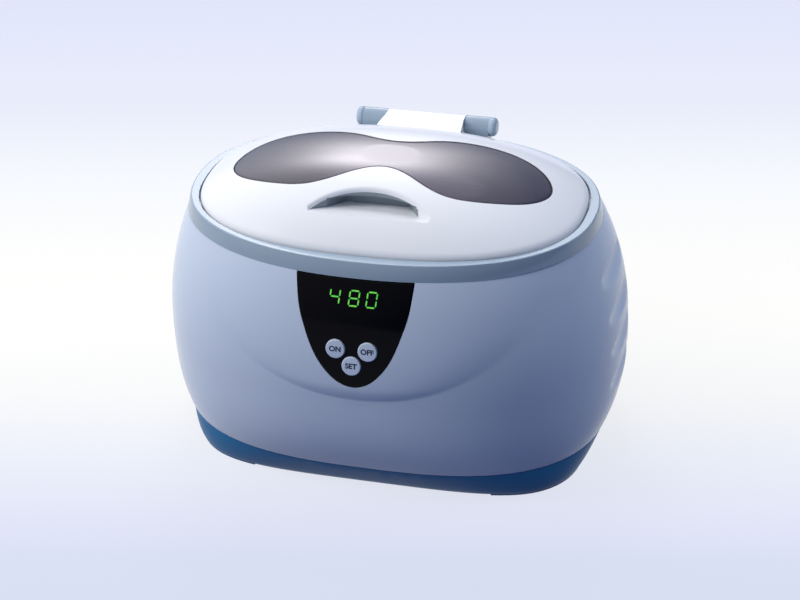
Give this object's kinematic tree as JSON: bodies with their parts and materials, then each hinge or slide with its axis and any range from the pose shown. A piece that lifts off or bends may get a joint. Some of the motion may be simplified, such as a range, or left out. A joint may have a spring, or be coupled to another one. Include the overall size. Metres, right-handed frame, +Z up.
{
  "type": "contact lens cleaner device",
  "caption": "Oval bench-top ultrasonic cleaner: barrel housing on a plinth, domed lid with smoked window, steel tank with basket, transducer, display and keys.",
  "frame": {"origin": "on the table plane, under the middle of the machine's overall box", "axes": "+X to the right seen from the front, the control panel faces -Y, the lid's hinge is at +Y, +Z up"},
  "size_m": [0.208, 0.1523, 0.1366],
  "materials": {
    "gloss_white": "glossy moulded plastic",
    "plinth_blue": "semi-gloss moulded plastic",
    "foot_rubber": "matt",
    "screw_steel": "bright zinc plated",
    "ring_blue_grey": "glossy moulded plastic",
    "hinge_grey": "semi-gloss moulded plastic",
    "smoked_window": "glossy, translucent smoke tint",
    "stainless": "satin drawn stainless",
    "seal_rubber": "translucent white silicone",
    "basket_white": "glossy moulded plastic",
    "horn_aluminium": "turned",
    "piezo_ceramic": "fired ceramic",
    "electrode_brass": "bright",
    "steel_mass": "turned",
    "panel_black": "glossy, dark tinted",
    "key_light": "satin",
    "switch_black": "matt",
    "plunger_grey": "matt",
    "board_green": "solder mask",
    "display_black": "matt",
    "display_green": "lit green bars",
    "inlet_black": "matt",
    "ferrite": "matt ferrite",
    "winding_tape": "polyester tape",
    "capacitor_sleeve": "shrink sleeve",
    "fuse_caps": "nickel plated caps on glass",
    "heat_sink_aluminium": "extruded",
    "epoxy_black": "moulded epoxy",
    "terminal_green": "moulded nylon",
    "header_white": "moulded nylon",
    "lead_brown": "PVC insulation",
    "lead_red": "silicone insulation",
    "cable_grey": "PVC sheath",
    "plate_silver": "bare foil label, no print"
  },
  "bodies": {
    "machine": {"housing": "gloss_white", "base_tray": "plinth_blue", "rubber_feet": "foot_rubber", "base_screws": "screw_steel", "rim_ring": "ring_blue_grey", "hinge_pin_left": "hinge_grey", "hinge_pin_right": "hinge_grey", "tank": "stainless", "tank_seal": "seal_rubber", "transducer_horn": "horn_aluminium", "piezo_ring_upper": "piezo_ceramic", "piezo_ring_lower": "piezo_ceramic", "electrode_upper": "electrode_brass", "electrode_lower": "electrode_brass", "transducer_backmass": "steel_mass", "transducer_bolt": "screw_steel", "control_panel": "panel_black", "switch_on": "switch_black", "switch_off": "switch_black", "switch_set": "switch_black", "control_board": "board_green", "control_board_screws": "screw_steel", "display_module": "display_black", "display_segments": "display_green", "mains_inlet": "inlet_black", "inlet_pins": "electrode_brass", "power_board": "board_green", "power_board_screws": "screw_steel", "transformer_core": "ferrite", "transformer_winding": "winding_tape", "filter_capacitor": "capacitor_sleeve", "mains_fuse": "fuse_caps", "heat_sink": "heat_sink_aluminium", "power_transistors": "epoxy_black", "terminal_blocks": "terminal_green", "cable_headers": "header_white", "mains_leads": "lead_brown", "transducer_leads": "lead_red", "panel_cable": "cable_grey", "rating_plate": "plate_silver"},
    "lid": {"lid_shell": "gloss_white", "lid_window": "smoked_window"},
    "key_on_body": {"key_on": "key_light", "plunger_on": "plunger_grey"},
    "key_off_body": {"key_off": "key_light", "plunger_off": "plunger_grey"},
    "key_set_body": {"key_set": "key_light", "plunger_set": "plunger_grey"},
    "basket_body": {"basket": "basket_white"}
  },
  "joints": [
    {"name": "lid_hinge", "type": "hinge", "parent": "machine", "child": "lid", "pos_m": [0, 0.061, 0.1209], "axis": [-1, 0, 0], "range_deg": [0, 95]},
    {"name": "key_on_press", "type": "slide", "parent": "machine", "child": "key_on_body", "axis": [0, 0.9781, -0.2079], "range_m": [0, 0.0005], "stiffness_N_per_m": 300},
    {"name": "key_off_press", "type": "slide", "parent": "machine", "child": "key_off_body", "axis": [0, 0.9781, -0.2079], "range_m": [0, 0.0005], "stiffness_N_per_m": 300},
    {"name": "key_set_press", "type": "slide", "parent": "machine", "child": "key_set_body", "axis": [0, 0.9781, -0.2079], "range_m": [0, 0.0005], "stiffness_N_per_m": 300},
    {"name": "basket_lift", "type": "slide", "parent": "machine", "child": "basket_body", "axis": [0, 0, 1], "range_m": [0, 0.01]}
  ]
}
